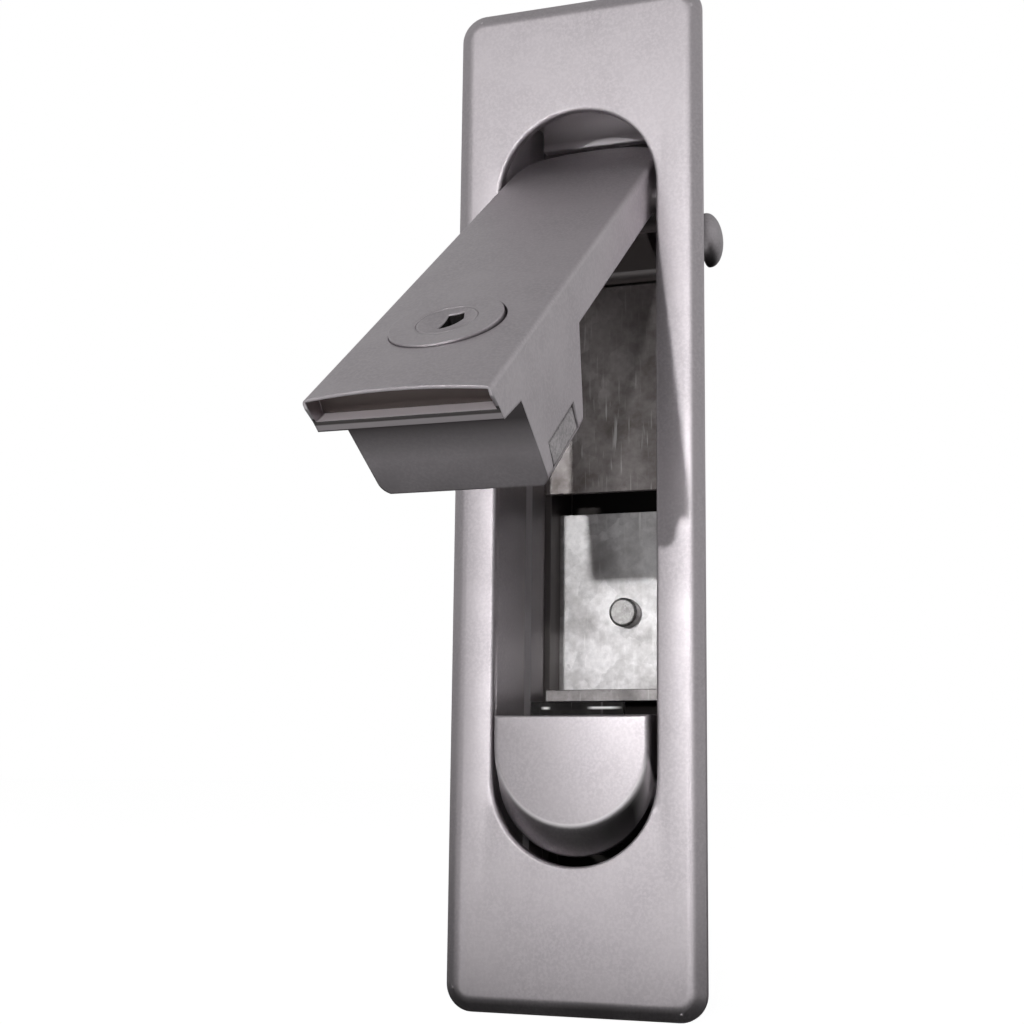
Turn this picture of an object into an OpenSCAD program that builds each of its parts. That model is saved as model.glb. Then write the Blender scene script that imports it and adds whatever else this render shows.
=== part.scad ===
// Flush push-to-open lock for the door of a rack cabinet.
// Millimetres. X to the right, Y into the cabinet, Z up.
// Y = 0 is the outside of the door, and the faceplate's back lies on it.
// The handle is drawn swung open, as the lock is shown; a turn about the hinge pin shuts it.

/* [Faceplate] */
// width of the faceplate
plate_w = 40; // [38:0.5:44]
// height of the faceplate
plate_h = 155; // [150:1:165]
// how far the faceplate stands out from the door
plate_t = 1.9; // [1.7:0.1:2.4]
// corner radius of the faceplate
corner_r = 4; // [3:0.5:6]

/* [Opening] */
// width of the long opening with round ends
open_w = 25.7; // [24.7:0.1:26.7]

/* [Handle] */
// how far the handle swings open, in degrees
open_deg = 51.4; // [44:0.2:54]
// thickness of the handle's arm
arm_t = 6.3; // [6:0.1:6.8]
// how much the front of the handle is crowned
crown = 0.75; // [0.4:0.05:1]
// diameter of the hinge pin
hinge_d = 5; // [4:0.25:5.5]

/* [Key lock] */
// diameter of the lock barrel's front rim
barrel_d = 15.2; // [14.4:0.1:16]
// throw of the side bolt
bolt_throw = 3.6; // [2.6:0.1:4]

/* [Slider] */
// thickness of the galvanised sheet
sheet_t = 1.2; // [1:0.05:1.4]
// reach of the crank finger from the hinge pin
crank_r = 15; // [14.6:0.1:15.4]
// diameter of the latch stud's head
stud_d = 8.9; // [8:0.1:9.4]

/* [Button] */
// how far the button stands out past the faceplate
button_proud = 1.1; // [0.6:0.1:1.4]

/* [Hidden] */
$fn = 96;
e = 0.01;

// colours
zinc = [0.72, 0.70, 0.72];
steel = [0.62, 0.62, 0.64];
galv = [0.70, 0.71, 0.72];
bright = [0.80, 0.80, 0.82];
dark = [0.32, 0.32, 0.34];

// running fit of a pin in its hole, and a close fit of a fixed piece
run_fit = 0.05;
seat_fit = 0.02;

// front face of the faceplate
yf = -plate_t;
// bevel around the faceplate
bevel_in = 1.8;
bevel_h = 1.2;
// thickness of the face around the opening
face_t = 1.4;

// opening: half width, ends, and centres of the round ends
open_r = open_w / 2;
open_top = plate_h / 2 - 18.3;
open_bot = -plate_h / 2 + 21.15;
top_c = open_top - open_r;
bot_c = open_bot + open_r;

// hinge axis
hinge_y = yf + 6;
hinge_z = top_c - 0.8;

// housing walls behind the face: inside and outside half widths at the front and the back
wall_y = 17.6;
in_front = open_r;
in_back = open_r - 0.45;
out_front = open_r + 2.2;
out_back = in_back + 2;
cav_top = open_top + 4.3;
cav_bot = open_bot - 3.65;
body_top = cav_top + 6.5;
body_bot = cav_bot - 8;
// bridge across the housing's back, above the crank's swing
bridge_t = 1.5;
bridge_z = top_c + 11;
// rib that hangs behind the opening's top, clear of the handle's swing
rib_y = hinge_y + 6.4;
rib_t = 1.5;
rib_z = open_top - 1.1;
rib_x = open_r - 2.55;
function in_at(y) = in_front + (in_back - in_front) * y / wall_y;
function out_at(y) = out_front + (out_back - out_front) * y / wall_y;

// slider plate between the housing and the rear frame
slide_gap = 0.35;
slide_y = wall_y + slide_gap;
slide_hw = open_r - 0.25;
slide_z0 = top_c - 44.35;
slide_wide_top = top_c + 2.95;
slide_top = top_c + 27.05;
eye_z = slide_top - 3.8;
// half of the crank's swing lies above the level of the hinge, half below
half_deg = open_deg / 2;
nose_r = 2.4;
nose_gap = 0.25;
nose_z = hinge_z - crank_r * sin(half_deg);

// rear frame, a channel of sheet
flange_y = slide_y + sheet_t + slide_gap;
web_y = flange_y + 4.1;
frame_in = open_r - 0.95;
frame_out = frame_in + sheet_t;
foot_z = 66.8 - 63.5;
frame_top = body_top;
frame_bot = body_bot;
shelf_z = bot_c + 13.4;
shelf_t = 1.9;
shelf_y = 15;
notch_bot = top_c - 10.3;
notch_top = cav_top;
// drawn pocket in the frame's web, behind the slider
deep_y = web_y + 5.5;
deep_left = -frame_in;
deep_right = frame_in - 1.6;
deep_bot = slide_z0 - 2.7;
deep_top = deep_bot + 34;
guide_z = shelf_z + (deep_bot - shelf_z) * 0.432;

// frame screws
screw_d = 3;
screw_head = 2.6;
screw_x = frame_in - screw_head - 0.15;
foot_in = screw_x - screw_head - 0.25;
tongue_hw = foot_in - 0.3;
screw_zt = cav_top + foot_z;
screw_zb = cav_bot - foot_z;

// fixing bosses behind the ends of the faceplate
boss_d = 8;
boss_bore = 3.3;
boss_y = 9;
boss_zt = plate_h / 2 - 4.9;
boss_zb = -boss_zt;

// pads on the housing's sides that take the ends of the hinge pin
pad_x = out_front + 2.15;
pad_z = 5;
pin_head = 1.1;
clip_rim = 1.2;

// button and handle end
button_top = bot_c + 9.1;
end_z = button_top + 1;
lock_z = end_z + 18.6;
hw = open_r - 0.85;
skin = 0.4;
edge_r = 0.7;
block_r = 2.2;
bolt_gap = 0.35;
crown_r = (hw * hw + crown * crown) / (2 * crown);
button_r = open_r - 0.65;
button_py = yf + 10.9;
button_pz = button_top - 3.6;
button_pd = 3;
button_back = 3;
button_in = yf + 1.78;

// barrel, plug, cam and bolt: depths behind the handle's front edges
barrel_r = barrel_d / 2;
barrel_front = -crown - 0.5;
barrel_body_r = barrel_r - 1.2;
barrel_end = 11;
plug_r = 4;
plug_front = barrel_front + 0.9;
keyway_l = 5.6;
keyway_w = 1.7;
keyway_deg = 74;
cam_r = 5.1;
cam_d0 = 11.25;
cam_d1 = 13.9;
bolt_d0 = cam_d1 + 0.5;
bolt_d1 = bolt_d0 + 3.4;
cover_d = bolt_d1 + 0.17;
cover_t = 0.63;
block_d = bolt_d1 + 1.4;
bolt_h = 10.6;
pocket_h = 11;
ecc_r = bolt_throw / 2 / sin(45);
ecc_pin = 2.2;
ecc_gap = 0.15;
ecc_x = -ecc_r * sin(45);
ecc_z = ecc_r * cos(45);
// half width of the handle's block at a depth: the block narrows towards its back
block_hw = hw - 0.5;
function side_at(d) = d < arm_t ? hw : hw - (hw - block_hw) * (d - arm_t) / (block_d - arm_t);
bolt_end = side_at((bolt_d0 + bolt_d1) / 2) - 0.1;

// latch stud on the slider's right tab
tab_z0 = top_c - 7.75;
tab_back = 5.2;
stud_y = slide_y + 2.9;
stud_z = top_c - 2.65;
stud_shank = 4;

function d2y(d) = yf + d;

// puts a piece drawn with the handle shut into the open handle's place
module open_pose() {
    translate([0, hinge_y, hinge_z])
        rotate([-open_deg, 0, 0])
            translate([0, -hinge_y, -hinge_z])
                children();
}

// a bar along X with round section
module x_rod(x0, x1, y, z, r) {
    translate([x0, y, z])
        rotate([0, 90, 0])
            cylinder(h = x1 - x0, r = r);
}

// a bar along Y with round section
module y_rod(y0, y1, x, z, r) {
    translate([x, y0, z])
        rotate([-90, 0, 0])
            cylinder(h = y1 - y0, r = r);
}

// a box from one corner to the other
module box(a, b) {
    translate(a)
        cube(b - a);
}

// a slab with two half-round ends, along Y
module stadium(r, y0, y1, z0, z1) {
    y_rod(y0, y1, 0, z0, r);
    y_rod(y0, y1, 0, z1, r);
    box([-r, y0, z0], [r, y1, z1]);
}

// bevelled plate with round corners, front towards -Y
module bezel() {
    ts = plate_t - bevel_h;
    cx = plate_w / 2 - corner_r;
    cz = plate_h / 2 - corner_r;
    rotate([90, 0, 0]) {
        for (sx = [-1, 1])
            for (sz = [-1, 1])
                translate([sx * cx, sz * cz, 0]) {
                    cylinder(h = ts, r = corner_r);
                    translate([0, 0, ts])
                        cylinder(h = bevel_h, r1 = corner_r, r2 = corner_r - bevel_in);
                }
        rotate([90, 0, 0])
            linear_extrude(2 * cz, center = true)
                polygon([[-plate_w / 2, 0], [plate_w / 2, 0], [plate_w / 2, ts],
                    [plate_w / 2 - bevel_in, plate_t], [-plate_w / 2 + bevel_in, plate_t],
                    [-plate_w / 2, ts]]);
        rotate([0, 0, 90])
            rotate([90, 0, 0])
                linear_extrude(2 * cx, center = true)
                    polygon([[-plate_h / 2, 0], [plate_h / 2, 0], [plate_h / 2, ts],
                        [plate_h / 2 - bevel_in, plate_t], [-plate_h / 2 + bevel_in, plate_t],
                        [-plate_h / 2, ts]]);
    }
}

// cast zinc faceplate and open-backed box in one piece
module face_housing() {
    color(zinc) {
        housing_cast();
        box([-rib_x, rib_y, rib_z], [in_at(rib_y) + 0.5, rib_y + rib_t, cav_top + 0.5]);
    }
}

// the casting without its rib
module housing_cast() {
    difference() {
        union() {
            bezel();
            translate([0, 0, body_bot])
                linear_extrude(body_top - body_bot)
                    polygon([[-out_front, -0.2], [out_front, -0.2], [out_back, wall_y], [-out_back, wall_y]]);
            // lips that guide the slider's edges
            for (s = [-1, 1])
                box([s > 0 ? slide_hw + 0.3 : -out_back, wall_y - 1, cav_bot],
                    [s > 0 ? out_back : -slide_hw - 0.3, flange_y - 0.1, notch_bot - 1]);
            y_rod(-0.2, boss_y, 0, boss_zt, boss_d / 2);
            y_rod(-0.2, boss_y, 0, boss_zb, boss_d / 2);
            for (s = [-1, 1])
                box([s > 0 ? out_back - 1 : -pad_x, -0.2, hinge_z - pad_z],
                    [s > 0 ? pad_x : 1 - out_back, hinge_y + 4.6, hinge_z + pad_z]);
        }
        // the opening through the face
        stadium(open_r, yf - 1, yf + face_t + 0.5, bot_c, top_c);
        // the space behind it
        translate([0, 0, cav_bot])
            linear_extrude(cav_top - cav_bot)
                polygon([[-in_at(yf + face_t), yf + face_t], [in_at(yf + face_t), yf + face_t],
                    [in_back, wall_y - bridge_t], [-in_back, wall_y - bridge_t]]);
        // its back, open up to the bridge over the crank
        box([-in_back, wall_y - bridge_t - e, cav_bot], [in_back, wall_y + 1, bridge_z]);
        // hinge and button pin holes
        x_rod(-out_front - 1, out_front + 1, hinge_y, hinge_z, hinge_d / 2 + seat_fit);
        x_rod(-out_front - 1, out_front + 1, button_py, button_pz, button_pd / 2 + seat_fit);
        // recesses for the hinge pin's head and clip
        x_rod(out_at(hinge_y) + 0.15, pad_x + 1, hinge_y, hinge_z, hinge_d / 2 + pin_head + 0.15);
        x_rod(-pad_x - 1, -out_at(hinge_y) - 0.15, hinge_y, hinge_z, hinge_d / 2 + clip_rim + 0.2);
        // slot that the side bolt enters
        box([in_back - 1, d2y(bolt_d0) - 0.5, lock_z - bolt_h / 2 - 0.5],
            [out_front + 1, d2y(bolt_d1) + 0.5, lock_z + bolt_h / 2 + 0.5]);
        // frame screw holes and tapped fixing holes
        for (s = [-1, 1]) {
            y_rod(9, wall_y + 1, s * screw_x, screw_zt, screw_d / 2 + seat_fit);
            y_rod(9, wall_y + 1, s * screw_x, screw_zb, screw_d / 2 + seat_fit);
        }
        // groove for the end of a rod's hook
        box([-5, 12, eye_z - 3.2], [5, wall_y + 1, body_top + 1]);
        y_rod(0, boss_y + 1, 0, boss_zt, boss_bore / 2);
        y_rod(0, boss_y + 1, 0, boss_zb, boss_bore / 2);
    }
}

// galvanised channel behind the housing, with four feet and a notch in its right flange
module rear_frame() {
    color(galv)
    difference() {
        union() {
            box([-frame_out, web_y, frame_bot], [frame_out, web_y + sheet_t, frame_top]);
            for (s = [-1, 1]) {
                box([s > 0 ? frame_in : -frame_out, flange_y, frame_bot],
                    [s > 0 ? frame_out : -frame_in, web_y + e, frame_top]);
                for (z = [[cav_top, frame_top], [frame_bot, cav_bot]]) {
                    box([s > 0 ? frame_in : -frame_out, wall_y, z[0]],
                        [s > 0 ? frame_out : -frame_in, flange_y + e, z[1]]);
                    box([s > 0 ? foot_in : -frame_out, wall_y, z[0]],
                        [s > 0 ? frame_out : -foot_in, wall_y + sheet_t, z[1]]);
                }
            }
            box([deep_left - sheet_t, web_y + e, deep_bot - sheet_t],
                [deep_right + sheet_t, deep_y + sheet_t, deep_top + sheet_t]);
        }
        // inside of the drawn pocket
        box([deep_left, web_y - e, deep_bot], [deep_right, deep_y, deep_top]);
        for (s = [-1, 1]) {
            y_rod(wall_y - 1, wall_y + sheet_t + 1, s * screw_x, screw_zt, screw_d / 2 + 0.1);
            y_rod(wall_y - 1, wall_y + sheet_t + 1, s * screw_x, screw_zb, screw_d / 2 + 0.1);
        }
        // rivet holes
        y_rod(web_y - 1, web_y + sheet_t + 1, 0, guide_z, 1.5 + seat_fit);
        y_rod(web_y - 1, web_y + sheet_t + 1, 0, shelf_z - 8, 1.5 + seat_fit);
        // notch in the right flange for the stud's travel
        box([frame_in - e, flange_y - e, notch_bot], [frame_out + e, web_y, notch_top]);
        // way in for a rod at the slider's eye
        box([-7, web_y - e, eye_z - 2.9], [7, web_y + sheet_t + 1, frame_top + 1]);
    }
}

// pan-head screw that holds a foot of the rear frame
module frame_screw(x, z) {
    y0 = wall_y + sheet_t;
    color(bright)
    difference() {
        union() {
            y_rod(10, y0 + e, x, z, screw_d / 2);
            y_rod(y0, y0 + 1.2, x, z, screw_head);
            translate([x, y0 + 1.2 - e, z])
                rotate([-90, 0, 0])
                    cylinder(h = 0.6, r1 = screw_head, r2 = screw_head - 0.9);
        }
        for (a = [0, 90])
            translate([x, y0 + 1.5, z])
                rotate([0, a, 0])
                    cube([2.8, 1.6, 0.6], center = true);
    }
}

module frame_screw_1() {
    frame_screw(-screw_x, screw_zt);
}

module frame_screw_2() {
    frame_screw(screw_x, screw_zt);
}

module frame_screw_3() {
    frame_screw(-screw_x, screw_zb);
}

module frame_screw_4() {
    frame_screw(screw_x, screw_zb);
}

// hinge pin with a flat head on the right and a clip groove on the left
module hinge_pin() {
    x1 = out_at(hinge_y);
    color(steel)
    difference() {
        union() {
            x_rod(-x1 - 2, x1 + 0.3, hinge_y, hinge_z, hinge_d / 2);
            x_rod(x1 + 0.2, x1 + 1.4, hinge_y, hinge_z, hinge_d / 2 + pin_head);
        }
        difference() {
            x_rod(-x1 - 1.2, -x1 - 0.4, hinge_y, hinge_z, hinge_d / 2 + 1);
            x_rod(-x1 - 1.3, -x1 - 0.3, hinge_y, hinge_z, hinge_d / 2 - 0.6);
        }
    }
}

// open ring in the hinge pin's groove
module hinge_clip() {
    x1 = out_at(hinge_y);
    color(dark)
    difference() {
        x_rod(-x1 - 1.15, -x1 - 0.45, hinge_y, hinge_z, hinge_d / 2 + clip_rim);
        x_rod(-x1 - 2, -x1, hinge_y, hinge_z, hinge_d / 2 - 0.6 + seat_fit);
        box([-x1 - 2, hinge_y - hinge_d / 2 + 0.9, hinge_z - hinge_d],
            [-x1, hinge_y + hinge_d / 2 - 0.9, hinge_z]);
    }
}

// rivet that stands in the middle of the frame's web
module guide_rivet() {
    z = guide_z;
    color(bright) {
        y_rod(web_y - 2.2, web_y, 0, z, 2.35);
        translate([0, web_y - 2.5, z])
            rotate([-90, 0, 0])
                cylinder(h = 0.3 + e, r1 = 2.05, r2 = 2.35);
        y_rod(web_y - e, web_y + sheet_t + e, 0, z, 1.5);
        y_rod(web_y + sheet_t, web_y + sheet_t + 0.9, 0, z, 2.4);
    }
}

// angle bracket over the button, for its spring to bear on
module spring_bracket() {
    color(galv)
    difference() {
        union() {
            box([-frame_in + 1, shelf_y, shelf_z - shelf_t], [frame_in - 1, web_y, shelf_z]);
            box([-6, web_y - shelf_t, shelf_z - 12.5], [6, web_y, shelf_z - e]);
        }
        y_rod(web_y - 4, web_y + 1, 0, shelf_z - 8, 1.5 + seat_fit);
    }
}

module bracket_rivet() {
    z = shelf_z - 8;
    color(bright) {
        y_rod(web_y - shelf_t - 0.9, web_y - shelf_t, 0, z, 2.4);
        y_rod(web_y - shelf_t - e, web_y + sheet_t + e, 0, z, 1.5);
        y_rod(web_y + sheet_t, web_y + sheet_t + 0.9, 0, z, 2.4);
    }
}

// pin that the button rocks on
module button_pin() {
    x1 = out_at(button_py) - 0.2;
    color(steel)
        x_rod(-x1, x1, button_py, button_pz, button_pd / 2);
}

// side view of the handle, as depth behind its front edges and height
module handle_profile() {
    roll_z = top_c - 6.35;
    roll_r = 110;
    top_z = top_c + hw;
    polygon(concat(
        [[-crown, end_z], [1.25, end_z + 0.2], [3.4, end_z + 1.1], [4.95, end_z + 1.5],
            [5.55, end_z + 7.4], [block_d - 0.2, end_z + 11], [block_d, end_z + 25.2],
            [block_d - 1.5, end_z + 26.6],
            [arm_t, end_z + 31.8], [arm_t, top_z + 1]],
        [for (i = [24:-1:0])
            let (z = roll_z + (top_z + 1 - roll_z) * i / 24)
                [-crown + roll_r - sqrt(roll_r * roll_r - (z - roll_z) * (z - roll_z)), z]]));
}

// outline of the shut handle from the front, drawn in by some way at its sides and round top
module handle_outline(inset, y0, y1) {
    y_rod(y0, y1, 0, top_c, hw - inset);
    box([-hw + inset, y0, end_z - 1], [hw - inset, y1, top_c]);
}

// front of the handle: crowned, with its long edges and round top rounded over
module handle_front() {
    hull()
        for (i = [0:6])
            let (a = 90 * i / 6, inset = edge_r * (1 - sin(a)), down = edge_r * (1 - cos(a)))
                intersection() {
                    handle_outline(inset, yf - crown - 1, yf + arm_t - 1);
                    translate([-hw - 1, yf + down, 0])
                        rotate([90, 0, 90])
                            linear_extrude(2 * hw + 2)
                                handle_profile();
                    translate([0, yf - crown + crown_r + down, end_z - 2])
                        cylinder(h = top_c + hw + 4 - end_z, r = crown_r, $fn = 720);
                    box([-hw - 1, yf - crown - 1, end_z], [hw + 1, yf + 3.3, top_c + hw + 1]);
                }
}

// outside shape of the cast handle, shut
module handle_body() {
    intersection() {
        union() {
            handle_front();
            handle_outline(0, yf + 3.2, d2y(block_d) + 1);
        }
        // seen from the side
        translate([-hw - 1, yf, 0])
            rotate([90, 0, 90])
                linear_extrude(2 * hw + 2)
                    handle_profile();
        // the block's sides draw in towards the back, with round corners
        translate([0, 0, end_z - 1])
            linear_extrude(top_c + hw + 2 - end_z)
                offset(r = block_r, $fn = 48)
                    offset(delta = -block_r)
                        polygon([[-hw - 2, yf - crown - 2], [hw + 2, yf - crown - 2], [hw + 2, yf + arm_t - 1],
                            [hw, yf + arm_t], [block_hw, d2y(block_d) + 0.1], [-block_hw, d2y(block_d) + 0.1],
                            [-hw, yf + arm_t], [-hw - 2, yf + arm_t - 1]]);
    }
}

// cast handle with its hinge hub and crank finger, shut
module handle_shut() {
    difference() {
        union() {
            handle_body();
            // hub, in two parts with room for the spring between
            x_rod(-2, hw - 0.1, hinge_y, hinge_z, hinge_d / 2 + 2.6);
            x_rod(-hw + 0.1, -8.5, hinge_y, hinge_z, hinge_d / 2 + 2.6);
            // crank finger with a round nose
            translate([0, hinge_y, hinge_z])
                rotate([half_deg, 0, 0])
                    box([-2, 2, -1.9], [8.3, crank_r, 1.9]);
            x_rod(-2, 8.3, hinge_y + crank_r * cos(half_deg), hinge_z + crank_r * sin(half_deg), nose_r);
        }
        // hinge bore and room for the spring
        x_rod(-hw - 1, hw + 1, hinge_y, hinge_z, hinge_d / 2 + run_fit);
        x_rod(-8.5, -2, hinge_y, hinge_z, hinge_d / 2 + 2.2);
        // channel across the end that the catch enters, behind a thin front edge
        intersection() {
            box([-hw + skin, yf - crown - 1, end_z - 1], [hw - skin, d2y(3.4), end_z + 3.3]);
            translate([0, yf - crown + crown_r, end_z - 2])
                cylinder(h = 6, r = crown_r - skin, $fn = 720);
        }
        // lock barrel
        y_rod(yf - crown - 1, d2y(1.5), 0, lock_z, barrel_r + seat_fit);
        y_rod(yf, d2y(barrel_end) + e, 0, lock_z, barrel_body_r + seat_fit);
        // room for the cam and the bolt, and the bolt's way out
        box([-9.2, d2y(barrel_end), lock_z - pocket_h / 2], [9.2, d2y(block_d) + 1, lock_z + pocket_h / 2]);
        box([8, d2y(bolt_d0) - bolt_gap, lock_z - bolt_h / 2 - bolt_gap],
            [hw + 1, d2y(bolt_d1) + 0.1, lock_z + bolt_h / 2 + bolt_gap]);
        // seat of the cover
        box([-9.8, d2y(cover_d) - seat_fit, lock_z - 6.3], [9.8, d2y(block_d) + 1, lock_z + 5.7]);
    }
}

module handle() {
    color(zinc)
        open_pose()
            handle_shut();
}

// coil that pushes the handle open
module handle_spring() {
    r = hinge_d / 2 + 0.95;
    color(dark)
    open_pose()
        translate([0, hinge_y, hinge_z]) {
            for (i = [0:6])
                translate([-7.9 + i * 0.85, 0, 0])
                    rotate([0, 90, 0])
                        rotate_extrude($fn = 40)
                            translate([r, 0])
                                circle(r = 0.45, $fn = 12);
            // a leg along the arm and a leg towards the housing
            translate([-7.9, r, 0])
                rotate([180, 0, 0])
                    cylinder(h = 9, r = 0.45, $fn = 12);
            translate([-2.8, 0, r])
                rotate([-90, 0, 0])
                    cylinder(h = 8, r = 0.45, $fn = 12);
        }
}

// lock barrel with a dished rim
module lock_barrel() {
    color(zinc)
    open_pose()
    difference() {
        union() {
            y_rod(d2y(barrel_front), d2y(1.5), 0, lock_z, barrel_r);
            y_rod(d2y(1.4), d2y(barrel_end), 0, lock_z, barrel_body_r);
        }
        translate([0, d2y(barrel_front) - e, lock_z])
            rotate([-90, 0, 0])
                cylinder(h = 0.9 + e, r1 = plug_r + 1.5, r2 = plug_r + run_fit);
        y_rod(d2y(barrel_front) - 1, d2y(barrel_end) + 1, 0, lock_z, plug_r + run_fit);
    }
}

// plate that closes the back of the block
module block_cover() {
    color(steel)
    open_pose()
        box([-9.75, d2y(cover_d), lock_z - 6.25], [9.75, d2y(cover_d + cover_t), lock_z + 5.65]);
}

// key plug with its keyway and a square tail
module lock_plug() {
    color(bright)
    open_pose()
    difference() {
        union() {
            y_rod(d2y(plug_front), d2y(cam_d0 - 0.1), 0, lock_z, plug_r);
            box([-2, d2y(cam_d0 - 0.2), lock_z - 2], [2, d2y(cam_d1 - 1.3), lock_z + 2]);
        }
        translate([0, d2y(plug_front), lock_z])
            rotate([0, -keyway_deg, 0])
                cube([keyway_l, 9, keyway_w], center = true);
        y_rod(d2y(cam_d1 - 5), d2y(cam_d1), 0, lock_z, 0.8 + seat_fit);
    }
}

// cam with the pin that draws the bolt
module lock_cam() {
    color(steel)
    open_pose()
    difference() {
        union() {
            y_rod(d2y(cam_d0), d2y(cam_d1), 0, lock_z, cam_r);
            y_rod(d2y(cam_d1 - 0.1), d2y(bolt_d1 - 0.3), ecc_x, lock_z + ecc_z, ecc_pin / 2);
        }
        box([-2 - seat_fit, d2y(cam_d0 - 1), lock_z - 2 - seat_fit],
            [2 + seat_fit, d2y(cam_d1 - 1.3), lock_z + 2 + seat_fit]);
        y_rod(d2y(cam_d0), d2y(cam_d1) + 1, 0, lock_z, 0.8 + seat_fit);
        translate([0, d2y(cam_d1 - 0.7), lock_z])
            rotate([-90, 0, 0])
                cylinder(h = 0.7 + e, r1 = 0.8 + seat_fit, r2 = 1.3 + seat_fit);
    }
}

// countersunk screw that holds the cam on the plug
module cam_screw() {
    color(bright)
    open_pose()
    difference() {
        union() {
            y_rod(d2y(cam_d1 - 4.8), d2y(cam_d1 - 0.65), 0, lock_z, 0.8);
            translate([0, d2y(cam_d1 - 0.7), lock_z])
                rotate([-90, 0, 0])
                    cylinder(h = 0.7, r1 = 0.8, r2 = 1.3);
        }
        box([-2, d2y(cam_d1 - 0.3), lock_z - 0.2], [2, d2y(cam_d1 + 1), lock_z + 0.2]);
    }
}

// bolt that the key sends out of the block's right side
module side_bolt() {
    color(bright)
    open_pose()
    difference() {
        box([-6.4, d2y(bolt_d0), lock_z - bolt_h / 2], [bolt_end, d2y(bolt_d1), lock_z + bolt_h / 2]);
        box([ecc_x - ecc_pin / 2 - ecc_gap, d2y(bolt_d0) - 1, lock_z + 0.4],
            [ecc_x + ecc_pin / 2 + ecc_gap, d2y(bolt_d1) + 1, lock_z + ecc_r + ecc_pin / 2 + 0.3]);
    }
}

// sliding plate that the crank drives, with a tab for the stud and an eye for a rod
module slider_plate() {
    y1 = slide_y + sheet_t;
    color(galv)
    difference() {
        union() {
            box([-slide_hw, slide_y, slide_z0], [slide_hw, y1, slide_wide_top]);
            box([-tongue_hw, slide_y, slide_wide_top - e], [tongue_hw, y1, slide_top]);
            box([slide_hw - sheet_t, slide_y, tab_z0], [slide_hw, slide_y + tab_back, slide_wide_top]);
        }
        box([-2.5, slide_y - 1, nose_z - nose_r - nose_gap], [8.8, y1 + 1, nose_z + nose_r + nose_gap]);
        y_rod(slide_y - 1, y1 + 1, 0, eye_z, 2.6);
        x_rod(slide_hw - 3, slide_hw + 1, stud_y, stud_z, stud_shank / 2 + seat_fit);
    }
}

// mushroom-head stud riveted through the slider's tab
module latch_stud() {
    x0 = slide_hw;
    color(steel) {
        x_rod(x0 - sheet_t - 0.5, x0 + e, stud_y, stud_z, stud_shank / 2);
        x_rod(x0, x0 + 2.2, stud_y, stud_z, stud_shank / 2 + 0.5);
        translate([x0 + 2.1, stud_y, stud_z])
            rotate([0, 90, 0])
                rotate_extrude()
                    intersection() {
                        union() {
                            square([stud_d / 2, 0.3]);
                            translate([0, 0.3])
                                scale([1, 0.5])
                                    circle(r = stud_d / 2);
                        }
                        square([stud_d, 4]);
                    }
    }
}

// outline of the button: straight top, round bottom
module button_outline(half, z0, y0, y1) {
    intersection() {
        union() {
            y_rod(y0, y1, 0, z0, half);
            box([-half, y0, z0], [half, y1, button_top]);
        }
        box([-half - 1, y0 - 1, z0 - half - 1], [half + 1, y1 + 1, button_top]);
    }
}

// rocking push button: a hollow cap with two lugs
module push_button() {
    color(zinc)
    difference() {
        union() {
            hull() {
                button_outline(button_r - 0.45, bot_c + 4.9, yf - button_proud, yf - button_proud + 0.1, $fn = 64);
                button_outline(button_r, bot_c + 0.7, yf + 1.3, yf + 1.4, $fn = 64);
            }
            button_outline(button_r, bot_c + 0.7, yf + 1.35, button_back);
            for (s = [-1, 1]) {
                box([s > 0 ? 8.6 : -11.2, button_in - 0.4, button_pz - 3.2],
                    [s > 0 ? 11.2 : -8.6, button_py, button_pz + 3.2]);
                x_rod(s > 0 ? 8.6 : -11.2, s > 0 ? 11.2 : -8.6, button_py, button_pz, 3.2);
            }
        }
        // hollow behind the face, open at the top, clear of the lugs
        difference() {
            union() {
                y_rod(button_in, button_back + 1, 0, bot_c + 0.7, button_r - 1.7);
                box([-button_r + 1.7, button_in, bot_c + 0.7],
                    [button_r - 1.7, button_back + 1, button_top + 1]);
            }
            for (s = [-1, 1])
                box([s > 0 ? 8.6 : -11.2, button_in - 0.5, button_pz - 3.2],
                    [s > 0 ? 11.2 : -8.6, button_back + 2, button_pz + 3.2]);
        }
        x_rod(-20, 20, button_py, button_pz, button_pd / 2 + run_fit);
        for (s = [-1, 1])
            y_rod(button_in - 1.4, button_in + 1, s * 4.5, button_top - 4.5, 1.2 + seat_fit);
    }
}

// steel catch on the back of the button, its edge standing above the button's top
module catch_plate() {
    color(galv)
    difference() {
        box([-7.3, button_in, button_top - 7.1], [7.3, button_in + 0.9, button_top + 1.9]);
        for (s = [-1, 1])
            y_rod(button_in - 1, button_in + 2, s * 4.5, button_top - 4.5, 1.2 + seat_fit);
    }
}

module catch_rivet(x) {
    color(bright) {
        y_rod(button_in - 1.35, button_in + 0.9 + e, x, button_top - 4.5, 1.2);
        y_rod(button_in + 0.9, button_in + 1.6, x, button_top - 4.5, 2);
    }
}

module catch_rivet_l() {
    catch_rivet(-4.5);
}

module catch_rivet_r() {
    catch_rivet(4.5);
}

// coil on the button's pin
module button_spring() {
    r = button_pd / 2 + 0.55;
    color(dark)
        translate([0, button_py, button_pz]) {
            for (i = [0:8])
                translate([-2.6 + i * 0.65, 0, 0])
                    rotate([0, 90, 0])
                        rotate_extrude($fn = 32)
                            translate([r, 0])
                                circle(r = 0.35, $fn = 10);
            translate([-2.6, -r, 0])
                rotate([180, 0, 0])
                    cylinder(h = 7, r = 0.35, $fn = 10);
            translate([2.6, r, 0])
                cylinder(h = 4.5, r = 0.35, $fn = 10);
        }
}

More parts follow.
